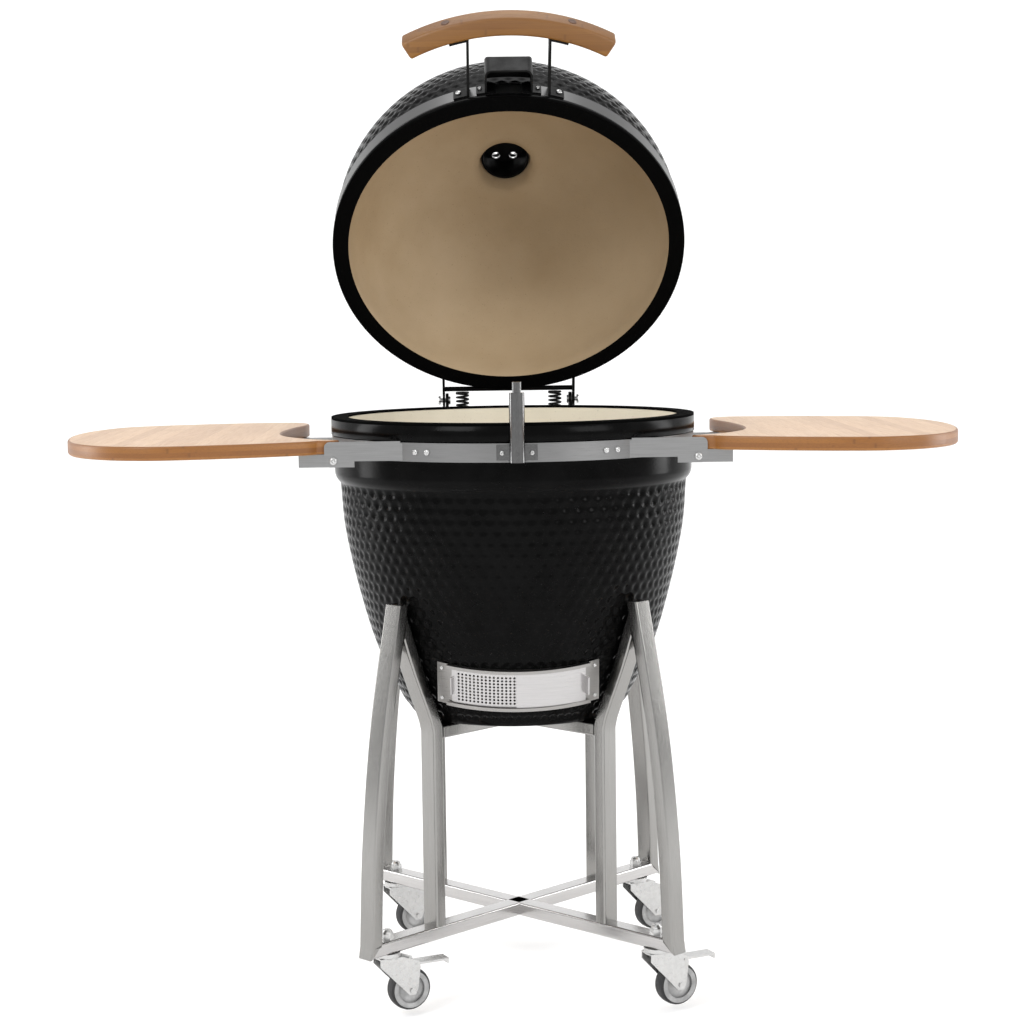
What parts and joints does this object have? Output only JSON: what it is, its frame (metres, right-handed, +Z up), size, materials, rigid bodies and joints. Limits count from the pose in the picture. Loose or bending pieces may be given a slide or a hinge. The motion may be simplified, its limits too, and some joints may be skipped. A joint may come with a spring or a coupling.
{
  "type": "kamado ceramic grill",
  "caption": "Egg-shaped black ceramic kamado grill with its lid open, on a four-legged stainless steel stand with casters, with two folding bamboo side shelves.",
  "frame": {"origin": "middle of the footprint at floor level", "axes": "+Z up, front of the grill towards -Y, +X to the right seen from the front"},
  "size_m": [1.342, 0.7298, 1.47],
  "materials": {
    "glaze_black": "gloss",
    "ceramic_inner": "matte",
    "gasket_felt": "matte",
    "steel_brushed": "satin",
    "steel_black": "satin",
    "bamboo_board": "satin",
    "bamboo_handle": "satin",
    "zinc": "satin",
    "tyre_black": "matte",
    "hub_grey": "matte",
    "iron": "matte"
  },
  "bodies": {
    "root": {"base_shell": "glaze_black", "base_gasket": "gasket_felt", "base_band": "steel_brushed", "firebox": "ceramic_inner", "fire_ring": "ceramic_inner", "charcoal_grate": "iron", "damper_post": "steel_brushed", "vent_frame": "steel_brushed", "upper_cross": "steel_brushed", "caster_stems": "zinc", "hinge_lower": "steel_black", "hinge_pins": "steel_black", "hinge_springs": "steel_black", "shelf_brackets_left": "zinc", "shelf_brackets_right": "zinc", "outer_leg_fr": "steel_brushed", "outer_leg_rr": "steel_brushed", "outer_leg_rl": "steel_brushed", "outer_leg_fl": "steel_brushed", "inner_post_fr": "steel_brushed", "inner_post_rr": "steel_brushed", "inner_post_rl": "steel_brushed", "inner_post_fl": "steel_brushed", "lower_bar_fr": "steel_brushed", "lower_bar_rr": "steel_brushed", "lower_bar_rl": "steel_brushed", "lower_bar_fl": "steel_brushed"},
    "grate": {"cooking_grate": "steel_brushed"},
    "lid": {"lid_shell": "glaze_black", "lid_gasket": "gasket_felt", "lid_band": "steel_brushed", "handle_grip": "bamboo_handle", "handle_straps": "steel_black", "striker_housing": "steel_black", "chimney_base": "steel_black", "hinge_upper": "steel_black"},
    "chimney_cap": {"chimney_rotor": "steel_brushed"},
    "damper_rod": {"damper_rod": "steel_brushed"},
    "vent_screen": {"vent_screen": "steel_brushed"},
    "vent_door": {"vent_door": "steel_brushed"},
    "shelf_left": {"shelf_board_left": "bamboo_board", "shelf_arms_left": "zinc"},
    "shelf_right": {"shelf_board_right": "bamboo_board", "shelf_arms_right": "zinc"},
    "caster_fr": {"caster_fork_fr": "zinc"},
    "wheel_fr": {"wheel_hub_fr": "hub_grey", "tyre_fr": "tyre_black"},
    "brake_fr": {"brake_pedal_fr": "zinc"},
    "caster_rr": {"caster_fork_rr": "zinc"},
    "wheel_rr": {"wheel_hub_rr": "hub_grey", "tyre_rr": "tyre_black"},
    "caster_rl": {"caster_fork_rl": "zinc"},
    "wheel_rl": {"wheel_hub_rl": "hub_grey", "tyre_rl": "tyre_black"},
    "caster_fl": {"caster_fork_fl": "zinc"},
    "wheel_fl": {"wheel_hub_fl": "hub_grey", "tyre_fl": "tyre_black"},
    "brake_fl": {"brake_pedal_fl": "zinc"}
  },
  "joints": [
    {"name": "lid_hinge", "type": "hinge", "parent": "root", "child": "lid", "pos_m": [0, 0.241, 0.88], "axis": [1, 0, 0], "range_deg": [0, 54], "stiffness_Nm_per_rad": 85, "springref_deg": -21.54, "deforming": ["hinge_springs"]},
    {"name": "chimney_turn", "type": "hinge", "parent": "lid", "child": "chimney_cap", "pos_m": [0, 0.05606, 1.12264], "axis": [0, 0.809, 0.5878], "range_deg": [0, 30]},
    {"name": "damper_push", "type": "slide", "parent": "root", "child": "damper_rod", "axis": [0, 0, -1], "range_m": [0, 0.012], "stiffness_N_per_m": 400, "springref_m": -0.004},
    {"name": "vent_screen_slide", "type": "hinge", "parent": "root", "child": "vent_screen", "pos_m": [0, -0.06566, 0.53285], "axis": [0, -0.2588, 0.9659], "range_deg": [0, 5.5]},
    {"name": "vent_door_slide", "type": "hinge", "parent": "root", "child": "vent_door", "pos_m": [0, -0.06566, 0.53285], "axis": [0, 0.2588, -0.9659], "range_deg": [0, 20]},
    {"name": "shelf_right_fold", "type": "hinge", "parent": "root", "child": "shelf_right", "pos_m": [0.262, -0.064, 0.8185], "axis": [0, 1, 0], "range_deg": [0, 90]},
    {"name": "shelf_left_fold", "type": "hinge", "parent": "root", "child": "shelf_left", "pos_m": [-0.262, -0.064, 0.8185], "axis": [0, -1, 0], "range_deg": [0, 90]},
    {"name": "grate_lift", "type": "slide", "parent": "root", "child": "grate", "axis": [0, 0, 1], "range_m": [0, 0.09]},
    {"name": "swivel_fr", "type": "hinge", "parent": "root", "child": "caster_fr", "pos_m": [0.1987, -0.2627, 0.08], "axis": [0, 0, 1], "continuous": true},
    {"name": "spin_fr", "type": "hinge", "parent": "caster_fr", "child": "wheel_fr", "pos_m": [0.22861, -0.24875, 0.03175], "axis": [-0.4226, 0.9063, 0], "continuous": true},
    {"name": "brake_fr", "type": "hinge", "parent": "caster_fr", "child": "brake_fr", "pos_m": [0.23495, -0.24579, 0.0695], "axis": [-0.4226, 0.9063, 0], "range_deg": [0, 12]},
    {"name": "swivel_rr", "type": "hinge", "parent": "root", "child": "caster_rr", "pos_m": [0.1987, 0.1347, 0.08], "axis": [0, 0, 1], "continuous": true},
    {"name": "spin_rr", "type": "hinge", "parent": "caster_rr", "child": "wheel_rr", "pos_m": [0.22861, 0.14864, 0.03175], "axis": [-0.4226, 0.9063, 0], "continuous": true},
    {"name": "swivel_rl", "type": "hinge", "parent": "root", "child": "caster_rl", "pos_m": [-0.1987, 0.1347, 0.08], "axis": [0, 0, 1], "continuous": true},
    {"name": "spin_rl", "type": "hinge", "parent": "caster_rl", "child": "wheel_rl", "pos_m": [-0.16879, 0.14864, 0.03175], "axis": [-0.4226, 0.9063, 0], "continuous": true},
    {"name": "swivel_fl", "type": "hinge", "parent": "root", "child": "caster_fl", "pos_m": [-0.1987, -0.2627, 0.08], "axis": [0, 0, 1], "continuous": true},
    {"name": "spin_fl", "type": "hinge", "parent": "caster_fl", "child": "wheel_fl", "pos_m": [-0.16879, -0.24875, 0.03175], "axis": [-0.4226, 0.9063, 0], "continuous": true},
    {"name": "brake_fl", "type": "hinge", "parent": "caster_fl", "child": "brake_fl", "pos_m": [-0.16245, -0.24579, 0.0695], "axis": [-0.4226, 0.9063, 0], "range_deg": [0, 12]}
  ]
}
